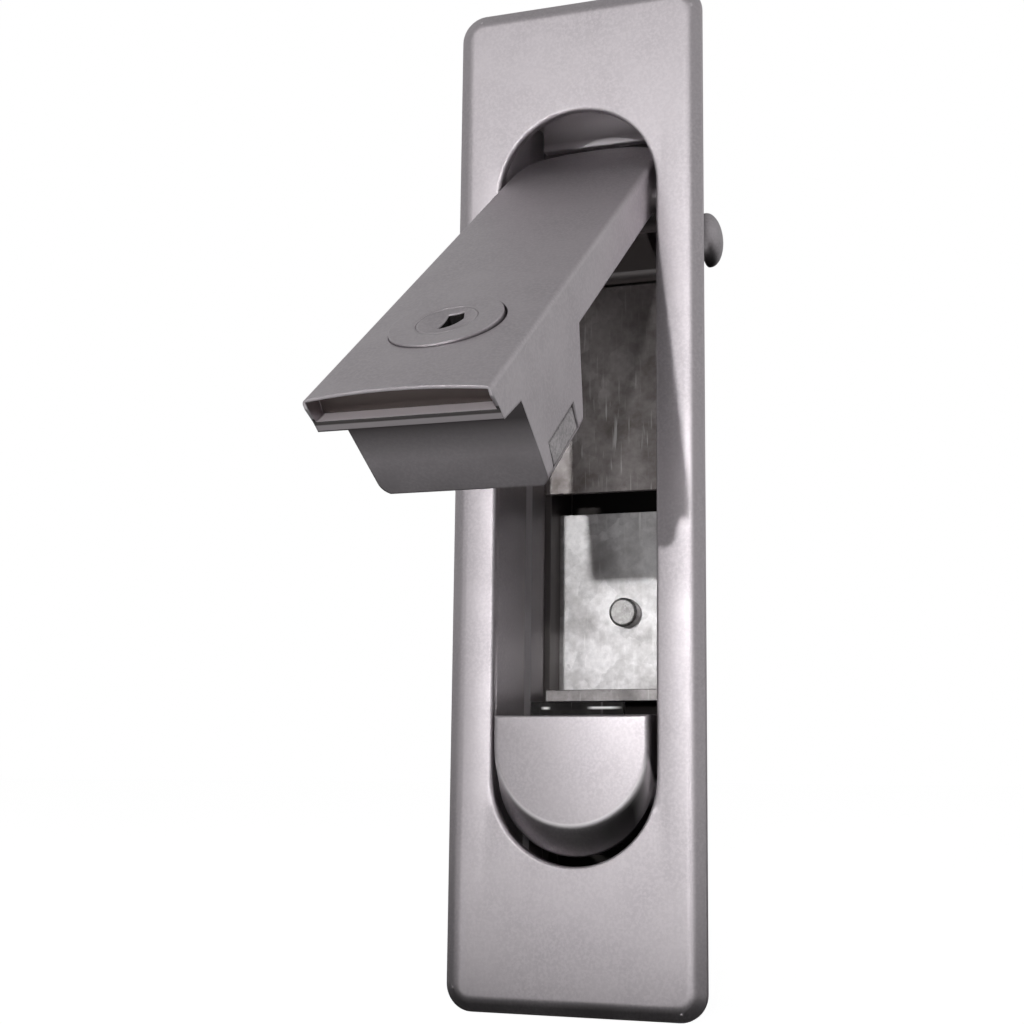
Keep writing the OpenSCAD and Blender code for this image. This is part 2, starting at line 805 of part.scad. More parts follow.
face_housing();
rear_frame();
frame_screw_1();
frame_screw_2();
frame_screw_3();
frame_screw_4();
hinge_pin();
hinge_clip();
guide_rivet();
spring_bracket();
bracket_rivet();
button_pin();
handle();
handle_spring();
lock_barrel();
block_cover();
lock_plug();
lock_cam();
cam_screw();
side_bolt();
slider_plate();
latch_stud();
push_button();
catch_plate();
catch_rivet_l();
catch_rivet_r();
button_spring();
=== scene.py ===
import math
import bpy
import bmesh
from mathutils import Matrix, Vector


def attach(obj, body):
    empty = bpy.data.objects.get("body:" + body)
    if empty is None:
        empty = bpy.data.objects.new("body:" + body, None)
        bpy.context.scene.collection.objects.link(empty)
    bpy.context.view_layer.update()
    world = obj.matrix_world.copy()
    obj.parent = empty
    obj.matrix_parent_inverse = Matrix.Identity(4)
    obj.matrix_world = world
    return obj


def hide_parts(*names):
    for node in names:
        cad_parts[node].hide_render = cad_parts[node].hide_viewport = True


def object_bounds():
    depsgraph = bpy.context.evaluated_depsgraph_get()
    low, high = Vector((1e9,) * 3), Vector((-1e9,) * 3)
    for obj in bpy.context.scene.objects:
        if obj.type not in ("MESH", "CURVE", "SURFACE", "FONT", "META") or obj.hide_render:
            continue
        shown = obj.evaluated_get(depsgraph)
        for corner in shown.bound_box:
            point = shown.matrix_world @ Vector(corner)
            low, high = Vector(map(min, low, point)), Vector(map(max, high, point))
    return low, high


mm = 0.001
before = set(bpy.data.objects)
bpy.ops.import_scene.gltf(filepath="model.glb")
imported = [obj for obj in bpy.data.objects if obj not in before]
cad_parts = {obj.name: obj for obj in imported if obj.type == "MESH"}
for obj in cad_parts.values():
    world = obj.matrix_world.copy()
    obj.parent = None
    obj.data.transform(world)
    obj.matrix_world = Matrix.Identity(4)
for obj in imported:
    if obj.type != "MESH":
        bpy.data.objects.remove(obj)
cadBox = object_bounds()
scene = bpy.context.scene
scene.view_settings.view_transform = "Standard"
print("frame loaded with", len(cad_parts), "nodes")

# camera where the photographer stood: low, to the right of the lock
cameraSet = {
    "place": (80.80, -219.09, -38.99),
    "forward": (-0.3047, 0.9408, 0.1484),
    "focal": 1561.7,  # in pixels of a 1024 wide image
    "shiftX": -0.125,
}


def setCamera(c):
    data = bpy.data.cameras.new("photoCamera")
    cam = bpy.data.objects.new("photoCamera", data)
    scene.collection.objects.link(cam)
    cam.location = Vector(c["place"]) * mm
    cam.rotation_euler = Vector(c["forward"]).to_track_quat("-Z", "Y").to_euler()
    data.sensor_fit = "HORIZONTAL"
    data.angle = 2 * math.atan(512 / c["focal"])
    data.shift_x = c["shiftX"]
    data.clip_start = 0.005
    scene.camera = cam


setCamera(cameraSet)
print("camera set")


# node helpers
def addNode(tree, kind, x, y, **sets):
    n = tree.nodes.new(kind)
    n.location = (x, y)
    for key, value in sets.items():
        setattr(n, key, value)
    return n


def newGroup(name, ins, outs):
    g = bpy.data.node_groups.new(name, "ShaderNodeTree")
    for label, value in ins:
        s = g.interface.new_socket(label, in_out="INPUT", socket_type="NodeSocketFloat")
        s.default_value = value
    for label in outs:
        kind = "NodeSocketVector" if label.endswith("Normal") else "NodeSocketFloat"
        g.interface.new_socket(label, in_out="OUTPUT", socket_type=kind)
    return g, addNode(g, "NodeGroupInput", -900, 0), addNode(g, "NodeGroupOutput", 700, 0)


def mapRange(tree, x, y, source, lo, hi, a, b):
    n = addNode(tree, "ShaderNodeMapRange", x, y)
    n.inputs["From Min"].default_value = lo
    n.inputs["From Max"].default_value = hi
    n.inputs["To Min"].default_value = a
    n.inputs["To Max"].default_value = b
    tree.links.new(source, n.inputs["Value"])
    return n.outputs["Result"]


def noiseTex(tree, x, y, coords, scale, detail, rough):
    n = addNode(tree, "ShaderNodeTexNoise", x, y)
    n.inputs["Detail"].default_value = detail
    n.inputs["Roughness"].default_value = rough
    tree.links.new(coords, n.inputs["Vector"])
    if isinstance(scale, (int, float)):
        n.inputs["Scale"].default_value = scale
    else:
        tree.links.new(scale, n.inputs["Scale"])
    return n.outputs["Fac"]


def stretched(tree, x, y, coords, sx, sy, sz):
    n = addNode(tree, "ShaderNodeMapping", x, y)
    n.inputs["Scale"].default_value = (sx, sy, sz)
    tree.links.new(coords, n.inputs["Vector"])
    return n.outputs["Vector"]


# fine blasted skin of the plated castings, an edge mask and a softened edge normal; a light edge colour
# gives wear with a painted highlight, a near-black edge colour gives painted shade in a gap
softRadius = 0.35 * mm


def blastedSkin():
    g, gi, go = newGroup("blastedSkin", [("Grain Scale", 5200.0), ("Patch Scale", 90.0)],
                         ["Height", "Patch", "Edge", "Speck", "Soft Normal"])
    co = addNode(g, "ShaderNodeTexCoord", -700, 200).outputs["Object"]
    g.links.new(noiseTex(g, -450, 300, co, gi.outputs["Grain Scale"], 3.0, 0.65), go.inputs["Height"])
    patch = noiseTex(g, -450, 80, co, gi.outputs["Patch Scale"], 5.0, 0.6)
    g.links.new(mapRange(g, -200, 80, patch, 0.3, 0.7, 0.0, 1.0), go.inputs["Patch"])
    geo = addNode(g, "ShaderNodeNewGeometry", -640, -160)
    soft = addNode(g, "ShaderNodeBevel", -640, -320, samples=4)
    soft.inputs["Radius"].default_value = softRadius
    turn = addNode(g, "ShaderNodeVectorMath", -420, -200, operation="DOT_PRODUCT")
    g.links.new(geo.outputs["Normal"], turn.inputs[0])
    g.links.new(soft.outputs["Normal"], turn.inputs[1])
    # edge mask: with a light edge colour it is wear with a painted highlight, with a near-black one painted
    # shade
    rub = mapRange(g, -200, -160, turn.outputs["Value"], 0.995, 0.90, 0.0, 1.0)
    g.links.new(rub, go.inputs["Edge"])
    g.links.new(soft.outputs["Normal"], go.inputs["Soft Normal"])
    speck = noiseTex(g, -450, -400, co, 2300.0, 3.0, 0.6)
    g.links.new(mapRange(g, -200, -400, speck, 0.42, 0.62, 0.0, 1.0), go.inputs["Speck"])
    return g


# galvanised skin: crystal patches, rolling lines and slide scratches
def galvanisedSkin():
    g, gi, go = newGroup("galvanisedSkin", [("Spangle Scale", 320.0), ("Scratch Scale", 1500.0)],
                         ["Tone", "Scratch", "Height", "Stain"])
    co = addNode(g, "ShaderNodeTexCoord", -900, 300).outputs["Object"]
    warp = addNode(g, "ShaderNodeTexNoise", -700, 420)
    warp.inputs["Scale"].default_value = 500.0
    g.links.new(co, warp.inputs["Vector"])
    bent = addNode(g, "ShaderNodeVectorMath", -520, 360, operation="MULTIPLY_ADD")
    bent.inputs[1].default_value = (0.002, 0.002, 0.002)
    g.links.new(warp.outputs["Color"], bent.inputs[0])
    g.links.new(co, bent.inputs[2])
    cell = addNode(g, "ShaderNodeTexVoronoi", -320, 360)
    g.links.new(bent.outputs["Vector"], cell.inputs["Vector"])
    g.links.new(gi.outputs["Spangle Scale"], cell.inputs["Scale"])
    parts = addNode(g, "ShaderNodeSeparateColor", -120, 360)
    g.links.new(cell.outputs["Color"], parts.inputs["Color"])
    fine = noiseTex(g, -320, 120, co, 900.0, 4.0, 0.6)
    both = addNode(g, "ShaderNodeMath", 60, 260, operation="MULTIPLY_ADD")
    both.inputs[1].default_value = 0.45
    g.links.new(parts.outputs["Red"], both.inputs[0])
    g.links.new(mapRange(g, -120, 120, fine, 0.3, 0.7, 0.0, 0.55), both.inputs[2])
    g.links.new(both.outputs["Value"], go.inputs["Tone"])
    g.links.new(fine, go.inputs["Height"])
    rub = noiseTex(g, -320, -120, stretched(g, -520, -120, co, 1.0, 1.0, 0.07),
                   gi.outputs["Scratch Scale"], 2.0, 0.5)
    where = noiseTex(g, -320, -340, co, 60.0, 2.0, 0.5)
    lines = addNode(g, "ShaderNodeMath", 60, -160, operation="MULTIPLY")
    g.links.new(mapRange(g, -120, -120, rub, 0.60, 0.68, 0.0, 1.0), lines.inputs[0])
    g.links.new(mapRange(g, -120, -340, where, 0.42, 0.6, 0.15, 1.0), lines.inputs[1])
    g.links.new(lines.outputs["Value"], go.inputs["Scratch"])
    stain = noiseTex(g, -320, -560, co, 130.0, 5.0, 0.62)
    g.links.new(mapRange(g, -120, -560, stain, 0.44, 0.68, 0.0, 1.0), go.inputs["Stain"])
    return g


# a mask that is 1 where every test holds: a place along a direction, or a facing
def zoneMask(name, tests):
    g, gi, go = newGroup(name, [], ["Mask"])
    co = addNode(g, "ShaderNodeTexCoord", -800, 0)
    mask = None
    for k, (kind, way, lo, hi) in enumerate(tests):
        along = addNode(g, "ShaderNodeVectorMath", -600, -180 * k, operation="DOT_PRODUCT")
        g.links.new(co.outputs["Object" if kind == "place" else "Normal"], along.inputs[0])
        along.inputs[1].default_value = way
        unit = mm if kind == "place" else 1.0
        step = mapRange(g, -380, -180 * k, along.outputs["Value"], lo * unit, hi * unit, 0.0, 1.0)
        if mask:
            both = addNode(g, "ShaderNodeMath", 60 * k - 160, -180 * k, operation="MULTIPLY")
            g.links.new(mask, both.inputs[0])
            g.links.new(step, both.inputs[1])
            step = both.outputs["Value"]
        mask = step
    g.links.new(mask, go.inputs["Mask"])
    return g


# places on the part, in mm of the lock's own frame, whose colour is changed: most are painted shade,
# painted light and painted glints, a few the part's own tone
frontward = (0, -1, 0)
outward = (0, -0.78152, -0.62388)  # along the open handle, to its free end
upward = (0, -0.62388, 0.78152)  # out of the open handle's front
back = tuple(-v for v in outward)
down = tuple(-v for v in upward)
# painted shade: the back of the frame's deep pocket is coloured near black, so the gap under the slider
# reads as a dark void
frameWellPaintedShade = zoneMask("frameWellPaintedShade", [("place", (0, 1, 0), 25.0, 26.0), ("facing", frontward, 0.5, 0.6)])
# painted shade: the frame's lower end, seen in the gap under the button, is coloured near black
frameFootPaintedShade = zoneMask("frameFootPaintedShade", [("place", (0, 0, -1), 49.5, 50.5), ("facing", frontward, 0.5, 0.6)])
# painted shade: the inner face of the frame's left flange is coloured dark grey, as it lies in shadow
frameFlangePaintedShade = zoneMask("frameFlangePaintedShade", [("place", (-1, 0, 0), 11.75, 11.85),
                                       ("facing", (1, 0, 0), -0.5, -0.4),
                                       ("facing", frontward, -0.5, -0.4)])
housingInside = zoneMask("housingInside", [("place", (0, 1, 0), 0.5, 12.0)])
# inside of the handle's channel: a brown tone for the bare recess, darkened with painted shade
channelWallUnplatedAndShade = zoneMask("channelWallUnplatedAndShade", [("place", outward, 43.2, 43.4), ("place", back, -44.8, -44.6),
                                       ("place", upward, 35.2, 35.4), ("facing", outward, 0.7, 0.8)])
# painted light: the channel floor is made pale and matt so that it reads as lit
channelFloorPaintedLight = zoneMask("channelFloorPaintedLight", [("place", upward, 35.1, 35.3), ("place", down, -36.2, -36.0),
                                         ("place", outward, 43.9, 44.1), ("facing", upward, 0.8, 0.9)])
# painted shade: the lip's end face is coloured darker than the rest of the zinc
endFacePaintedShade = zoneMask("endFacePaintedShade", [("place", outward, 45.4, 45.6), ("place", down, -36.2, -36.0),
                               ("facing", outward, 0.5, 0.6)])
# painted shade: a thin near-black line between the channel floor and the lip face
lipLinePaintedShade = zoneMask("lipLinePaintedShade", [("place", outward, 45.4, 45.6), ("place", upward, 35.0, 35.15),
                               ("place", down, -36.2, -36.0), ("facing", outward, 0.5, 0.6)])
blockShade = zoneMask("blockShade", [("place", upward, 25.5, 31.0), ("place", down, -34.3, -34.2),
                                     ("facing", outward, 0.5, 0.6)])
# painted light: the pocket's left side near the arch is made near white and matt so that it reads as lit
archSidePaintedLight = zoneMask("archSidePaintedLight", [("place", (0, 0, 1), 44.0, 46.0), ("place", (0, 1, 0), 0.3, 1.5),
                                 ("facing", (1, 0, 0), 0.5, 0.6)])
# painted light: a pale band along the lower edge of the rib inside the arch
ribEdgePaintedLight = zoneMask("ribEdgePaintedLight", [("place", (0, 1, 0), 10.0, 10.3), ("place", (0, -1, 0), -12.7, -12.5),
                               ("place", (0, 0, -1), -59.4, -58.5)])
# painted shade: the bracket's foot in the gap under the button is coloured near black
bracketFootPaintedShade = zoneMask("bracketFootPaintedShade", [("place", (0, 0, -1), 31.8, 32.0)])
# painted glints: a bright strip and a bright dot on the catch plate's top edge stand in for highlights
catchPaintedGlintStrip = zoneMask("catchPaintedGlintStrip", [("place", (1, 0, 0), 1.6, 2.6), ("place", (-1, 0, 0), -7.2, -5.4),
                                 ("place", (0, 0, 1), -33.62, -33.4), ("place", (0, 0, -1), 33.1, 33.3)])
catchPaintedGlintDot = zoneMask("catchPaintedGlintDot", [("place", (1, 0, 0), -5.7, -5.1), ("place", (-1, 0, 0), 4.1, 4.7),
                                   ("place", (0, 0, 1), -33.66, -33.4), ("place", (0, 0, -1), 33.1, 33.3)])
skirtShade = zoneMask("skirtShade", [("facing", (0.5, 0, -0.866), 0.32, 0.62),
                                     ("place", (1, 0, 0), -9.0, 6.0)])
# painted highlight: a pale line where the button's face rolls over into the skirt
rimPaintedHighlight = zoneMask("rimPaintedHighlight", [("facing", (0, 0, -1), 0.06, 0.14), ("facing", (0, 0, 1), -0.42, -0.28)])
# the hidden crank end behind the plate is darker: grease, with painted shade
crankEndGreaseAndShade = zoneMask("crankEndGreaseAndShade", [("place", (0, 1, 0), 7.0, 9.0), ("place", (0, 0, -1), -44.0, -42.0)])
blastedGroup = blastedSkin()
galvanisedGroup = galvanisedSkin()


def startMaterial(name, group, values):
    m = bpy.data.materials.new(name)
    m.use_nodes = True
    t = m.node_tree
    t.nodes.clear()
    out = addNode(t, "ShaderNodeOutputMaterial", 700, 0)
    bsdf = addNode(t, "ShaderNodeBsdfPrincipled", 400, 0)
    t.links.new(bsdf.outputs["BSDF"], out.inputs["Surface"])
    skin = addNode(t, "ShaderNodeGroup", -700, 0, node_tree=group)
    for key, value in values.items():
        skin.inputs[key].default_value = value
    return m, t, bsdf, skin


def mixColour(t, x, y, mask, a, b):
    n = addNode(t, "ShaderNodeMix", x, y, data_type="RGBA")
    t.links.new(mask, n.inputs["Factor"])
    for socket, value in ((n.inputs[6], a), (n.inputs[7], b)):
        if isinstance(value, tuple):
            socket.default_value = (*value, 1.0)
        else:
            t.links.new(value, socket)
    return n.outputs[2]


def mixValue(t, x, y, mask, a, b):
    n = addNode(t, "ShaderNodeMix", x, y, data_type="FLOAT")
    t.links.new(mask, n.inputs["Factor"])
    for socket, value in ((n.inputs[2], a), (n.inputs[3], b)):
        if isinstance(value, float):
            socket.default_value = value
        else:
            t.links.new(value, socket)
    return n.outputs[0]


# colour, roughness and metal of a zone over those of the finish
def addZones(t, bsdf, c, body, rough):
    metal = c["metal"]
    for k, (group, colour, zoneRough, zoneMetal) in enumerate(c.get("zones", ())):
        zone = addNode(t, "ShaderNodeGroup", -300, 420 + 160 * k, node_tree=group).outputs["Mask"]
        body = mixColour(t, 60 + 60 * k, 420, zone, body, colour)
        rough = mixValue(t, 60 + 60 * k, 300, zone, rough, zoneRough)
        metal = mixValue(t, 60 + 60 * k, 180, zone, metal, zoneMetal)
    t.links.new(body, bsdf.inputs["Base Color"])
    t.links.new(rough, bsdf.inputs["Roughness"])
    if isinstance(metal, float):
        bsdf.inputs["Metallic"].default_value = metal
    else:
        t.links.new(metal, bsdf.inputs["Metallic"])


def addBump(t, bsdf, height, strength, distance, normal=None):
    n = addNode(t, "ShaderNodeBump", 150, -260)
    n.inputs["Strength"].default_value = strength
    n.inputs["Distance"].default_value = distance
    t.links.new(height, n.inputs["Height"])
    if normal:
        t.links.new(normal, n.inputs["Normal"])
    t.links.new(n.outputs["Normal"], bsdf.inputs["Normal"])


def castFinish(name, c):
    m, t, bsdf, skin = startMaterial(name, blastedGroup,
                                     {"Grain Scale": c["grain"], "Patch Scale": c["patch"]})
    body = mixColour(t, -350, 200, skin.outputs["Patch"], c["dark"], c["light"])
    body = mixColour(t, -240, 200, skin.outputs["Speck"], body, c["speck"])
    body = mixColour(t, -120, 200, skin.outputs["Edge"], body, c["edge"])
    rough = mapRange(t, -120, -40, skin.outputs["Patch"], 0.0, 1.0, c["roughHi"], c["roughLo"])
    addZones(t, bsdf, c, body, rough)
    addBump(t, bsdf, skin.outputs["Height"], c["bump"], c["depth"], skin.outputs["Soft Normal"])
    return m


def sheetFinish(name, c):
    m, t, bsdf, skin = startMaterial(name, galvanisedGroup,
                                     {"Spangle Scale": c["spangle"], "Scratch Scale": c["scratch"]})
    body = mixColour(t, -350, 220, skin.outputs["Tone"], c["dark"], c["light"])
    body = mixColour(t, -200, 220, skin.outputs["Stain"], body, c["stain"])
    body = mixColour(t, -40, 220, skin.outputs["Scratch"], body, c["line"])
    rough = mapRange(t, -120, -40, skin.outputs["Tone"], 0.0, 1.0, c["roughHi"], c["roughLo"])
    addZones(t, bsdf, c, body, rough)
    addBump(t, bsdf, skin.outputs["Height"], c["bump"], c["depth"])
    return m


zincSet = {
    "grain": 2600.0, "patch": 90.0, "dark": (0.50, 0.465, 0.49), "light": (0.57, 0.53, 0.555),
    "speck": (0.59, 0.551, 0.575), "edge": (0.66, 0.62, 0.645), "roughLo": 0.36, "roughHi": 0.45,
    "metal": 0.96, "bump": 0.12, "depth": 0.00004,
}
satinZinc = castFinish("satinZinc", zincSet)
housingZinc = castFinish("housingZinc", {**zincSet, "roughLo": 0.43, "roughHi": 0.51, "zones": [
    # the pale zones on the arch side and the rib's lower edge are painted light
    (housingInside, (0.48, 0.45, 0.46), 0.55, 0.9), (archSidePaintedLight, (0.92, 0.88, 0.905), 0.85, 0.05),
    (ribEdgePaintedLight, (0.86, 0.82, 0.845), 0.7, 0.15),
]})
buttonZinc = castFinish("buttonZinc", {**zincSet, "zones": [
    # the dark zone on the skirt is painted shade, the pale zone on the face's lower rim a painted highlight
    (skirtShade, (0.07, 0.065, 0.067), 0.45, 0.98), (rimPaintedHighlight, (0.92, 0.88, 0.90), 0.45, 0.96),
]})
handleZinc = castFinish("handleZinc", {**zincSet, "zones": [
    # handle zones: the channel wall's brown tone with painted shade, painted light on the channel floor,
    # painted shade on the lip face, the lip line and the block end, grease with painted shade on the hidden
    # crank
    (channelWallUnplatedAndShade, (0.15, 0.125, 0.118), 0.6, 0.8), (channelFloorPaintedLight, (0.68, 0.62, 0.64), 0.6, 0.2),
    (endFacePaintedShade, (0.40, 0.37, 0.385), 0.45, 0.96), (lipLinePaintedShade, (0.10, 0.092, 0.092), 0.5, 0.96),
    (blockShade, (0.11, 0.10, 0.103), 0.45, 0.96),
    (crankEndGreaseAndShade, (0.24, 0.222, 0.222), 0.45, 0.95),
]})
rivetSteel = castFinish("rivetSteel", {
    "grain": 2600.0, "patch": 220.0, "dark": (0.50, 0.49, 0.48), "light": (0.66, 0.65, 0.64),
    "speck": (0.70, 0.69, 0.68), "edge": (0.78, 0.77, 0.76), "roughLo": 0.26, "roughHi": 0.40,
    "metal": 0.95, "bump": 0.15, "depth": 0.00003,
})
# the guide rivet's near-black edge colour is painted shade: a dark ring round its head
guideHead = castFinish("guideHead", {
    "grain": 2600.0, "patch": 420.0, "dark": (0.26, 0.25, 0.248), "light": (0.40, 0.39, 0.385),
    "speck": (0.44, 0.43, 0.425), "edge": (0.04, 0.037, 0.036), "roughLo": 0.32, "roughHi": 0.46,
    "metal": 0.95, "bump": 0.25, "depth": 0.00004,
})
# the bolt's near-black edge colour is painted shade in the gap round it
boltMetal = castFinish("boltMetal", {
    "grain": 2600.0, "patch": 240.0, "dark": (0.46, 0.43, 0.445), "light": (0.60, 0.57, 0.58),
    "speck": (0.36, 0.34, 0.35), "edge": (0.03, 0.027, 0.027), "roughLo": 0.34, "roughHi": 0.46,
    "metal": 0.95, "bump": 0.3, "depth": 0.00004,
})
springWire = castFinish("springWire", {
    "grain": 3800.0, "patch": 300.0, "dark": (0.13, 0.12, 0.12), "light": (0.24, 0.23, 0.23),
    "speck": (0.28, 0.27, 0.26), "edge": (0.36, 0.35, 0.34), "roughLo": 0.30, "roughHi": 0.42,
    "metal": 0.95, "bump": 0.15, "depth": 0.00002,
})
polishedStud = castFinish("polishedStud", {
    "grain": 1800.0, "patch": 260.0, "dark": (0.34, 0.315, 0.33), "light": (0.42, 0.39, 0.41),
    "speck": (0.44, 0.41, 0.43), "edge": (0.50, 0.47, 0.485), "roughLo": 0.38, "roughHi": 0.46,
    "metal": 0.95, "bump": 0.05, "depth": 0.00002,
})
# painted shade: the keyhole's walls and floor are near black, as a deep hole is dark
keyholePaintedShade = castFinish("keyholePaintedShade", {
    "grain": 3800.0, "patch": 300.0, "dark": (0.02, 0.018, 0.018), "light": (0.04, 0.037, 0.037),
    "speck": (0.05, 0.047, 0.046), "edge": (0.06, 0.056, 0.055), "roughLo": 0.45, "roughHi": 0.6,
    "metal": 0.6, "bump": 0.15, "depth": 0.00002,
})
sheetSet = {
    "spangle": 330.0, "scratch": 1500.0, "dark": (0.46, 0.45, 0.455), "light": (0.80, 0.785, 0.79),
    "stain": (0.40, 0.385, 0.385), "line": (0.78, 0.77, 0.77), "roughLo": 0.30, "roughHi": 0.46,
    "metal": 0.92, "bump": 0.25, "depth": 0.00004,
}
galvanisedSheet = sheetFinish("galvanisedSheet", sheetSet)
frameSheet = sheetFinish("frameSheet", {
    **sheetSet, "stain": (0.36, 0.345, 0.345), "line": (0.72, 0.71, 0.71), "zones": [
        # the frame's near-black and dark grey zones are painted shade: the pocket's back, the foot and the
        # flange's inner face
        (frameWellPaintedShade, (0.03, 0.027, 0.026), 0.5, 0.9), (frameFootPaintedShade, (0.02, 0.018, 0.017), 0.5, 0.9),
        (frameFlangePaintedShade, (0.24, 0.222, 0.218), 0.5, 0.9),
    ],
})
slidingSheet = sheetFinish("slidingSheet", {
    "spangle": 260.0, "scratch": 1900.0, "dark": (0.34, 0.31, 0.305), "light": (0.52, 0.485, 0.48),
    "stain": (0.21, 0.185, 0.175), "line": (0.70, 0.68, 0.67), "roughLo": 0.38, "roughHi": 0.48,
    "metal": 0.95, "bump": 0.25, "depth": 0.00004,
})
bracketSheet = sheetFinish("bracketSheet", {
    **sheetSet, "spangle": 420.0, "scratch": 1700.0, "dark": (0.22, 0.205, 0.205),
    "light": (0.36, 0.34, 0.34), "stain": (0.15, 0.14, 0.14), "line": (0.38, 0.37, 0.36),
    # near black on the bracket's foot: painted shade
    "zones": [(bracketFootPaintedShade, (0.02, 0.018, 0.018), 0.6, 0.95)],
})
catchSteel = sheetFinish("catchSteel", {
    **sheetSet, "spangle": 500.0, "scratch": 900.0, "dark": (0.015, 0.014, 0.014),
    "light": (0.035, 0.033, 0.033), "stain": (0.012, 0.011, 0.011), "line": (0.20, 0.19, 0.19),
    "roughLo": 0.55, "roughHi": 0.65,
    # the bright zones on the catch plate are painted glints
    "zones": [(catchPaintedGlintStrip, (0.62, 0.61, 0.60), 0.35, 0.95), (catchPaintedGlintDot, (0.72, 0.71, 0.70), 0.35, 0.95)],
})
print("finishes made")


# mesh helpers
weldGap = 0.003 * mm
flatAngle = math.radians(0.3)


def cleanCopy(nodeName):
    bm = bmesh.new()
    bm.from_mesh(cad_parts[nodeName].data)
    bmesh.ops.remove_doubles(bm, verts=bm.verts[:], dist=weldGap)
    bmesh.ops.dissolve_limit(bm, angle_limit=flatAngle, verts=bm.verts[:], edges=bm.edges[:])
    return bm


def sharpEdge(e, degrees):
    return len(e.link_faces) == 2 and e.calc_face_angle(0.0) > math.radians(degrees)


def roundEdges(bm, width, segs, pick):
    edges = [e for e in bm.edges if pick(e)]
    if edges:
        bmesh.ops.bevel(bm, geom=edges, offset=width, offset_type="OFFSET", segments=segs,
                        profile=0.5, affect="EDGES", clamp_overlap=True, loop_slide=False)


def placePiece(bm, name, body, nodes, material, sharp=40.0):
    wide = [f for f in bm.faces if len(f.verts) > 4]
    bmesh.ops.triangulate(bm, faces=wide, quad_method="BEAUTY", ngon_method="BEAUTY")
    me = bpy.data.meshes.new(name)
    bm.to_mesh(me)
    bm.free()
    me.shade_smooth()
    me.set_sharp_from_angle(angle=math.radians(sharp))
    ob = bpy.data.objects.new(name, me)
    scene.collection.objects.link(ob)
    me.materials.append(material)
    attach(ob, body)
    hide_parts(*nodes)
    even = ob.modifiers.new("evenNormals", "WEIGHTED_NORMAL")
    even.keep_sharp = True
    return ob


# faceplate and housing: rounded edges, and a slight crown on the strips beside the opening
faceSet = {
    "frontY": -1.9, "openEdge": 0.45, "rimEdge": 0.8, "edgeSteps": 4,
    "stripX": 16.1, "stripHalf": 3.2, "stripFall": 0.215, "stripFrom": 12.3,
    "stripCuts": (13.6, 14.2, 14.8, 15.4, 16.0, 16.6, 17.2), "cutEnd": 72, "cutStep": 8,
    "fadeFrom": 42.0, "fadeTo": 60.0, "edgeBack": -0.55, "edgeDeep": 0.45,
}


def splitFront(bm, c):
    # cut the flat front into short pieces, so that no face runs round the opening
    heights = range(-c["cutEnd"], c["cutEnd"] + 1, c["cutStep"])
    cuts = [((0, 0, z * mm), (0, 0, 1)) for z in heights]
    for x in (0.0, *c["stripCuts"], *(-x for x in c["stripCuts"])):
        cuts.append(((x * mm, 0, 0), (1, 0, 0)))
    for place, normal in cuts:
        flat = [f for f in bm.faces if f.normal.y < -0.99]
        flat = [f for f in flat if f.calc_center_median().y < (c["frontY"] + 0.3) * mm]
        geom = list(flat)
        geom += list({e for f in flat for e in f.edges})
        geom += list({v for f in flat for v in f.verts})
        bmesh.ops.bisect_plane(bm, geom=geom, dist=0.02 * mm, plane_co=place, plane_no=normal)


def crownStrips(bm, c):
    # the strips beside the opening are slightly rounded from side to side
    for v in bm.verts:
        x, y, z = (part / mm for part in v.co)
        if abs(x) < c["stripFrom"]:
            continue
        near = (c["edgeBack"] - y) / c["edgeDeep"]  # nothing moves behind the front's edges
        across = min(1.0, abs(abs(x) - c["stripX"]) / c["stripHalf"])
        fade = (c["fadeTo"] - abs(z)) / (c["fadeTo"] - c["fadeFrom"])
        share = min(1.0, max(0.0, fade)) * min(1.0, max(0.0, near))
        v.co.y += c["stripFall"] * across ** 2 * share * mm


def makeFace(c):
    bm = cleanCopy("face_housing")
    front = c["frontY"] * mm

    def atFront(e):
        return all(abs(v.co.y - front) < 0.02 * mm for v in e.verts)

    def openEdge(e):
        return sharpEdge(e, 60) and atFront(e)

    def rimEdge(e):
        return sharpEdge(e, 20) and atFront(e) and not sharpEdge(e, 60)

    roundEdges(bm, c["openEdge"] * mm, c["edgeSteps"], openEdge)
    roundEdges(bm, c["rimEdge"] * mm, c["edgeSteps"], rimEdge)
    splitFront(bm, c)
    crownStrips(bm, c)
    return placePiece(bm, "faceShell", "housing", ["face_housing"], housingZinc, 30.0)


makeFace(faceSet)
print("face made")

# push button: straight top, round bottom, a sloping skirt that rolls over into the flat face
buttonSet = {
    "top": -34.4, "bodyHalf": 12.3, "bodyCentre": -42.7, "faceHalf": 12.1, "faceCentre": -39.0,
    "faceY": -3.0, "edgeY": -0.6, "innerY": -0.12, "backY": 3.0, "wall": 1.7, "arc": 44,
    "topSteps": 9, "sideSteps": 6, "topInset": 0.6, "lap": 0.1, "lugReach": 1.02,
    "crown": 0.1, "sideCrown": 0.4, "tilt": 0.03, "faceMiddle": -41.5, "faceRings": 6,
    "pinY": 9.0, "pinZ": -38.0, "pinR": 1.55, "lugIn": 8.6, "lugOut": 11.2, "lugR": 3.2, "lugSteps": 28,
    # side profile from the back forwards: blend from body outline to face outline, inset, depth
    "profile": (
        (0.0, 0.0, -0.12), (0.0, 0.0, -0.38), (0.015, 0.02, -0.5), (0.05, 0.05, -0.6),
        (0.12, 0.05, -0.76), (0.4, 0.05, -1.42), (0.68, 0.05, -2.06), (0.86, 0.06, -2.48),
        (0.93, 0.1, -2.64), (0.98, 0.17, -2.77), (1.02, 0.27, -2.88), (1.05, 0.4, -2.95),
        (1.07, 0.58, -2.99), (1.08, 0.8, -3.0),
    ),
}


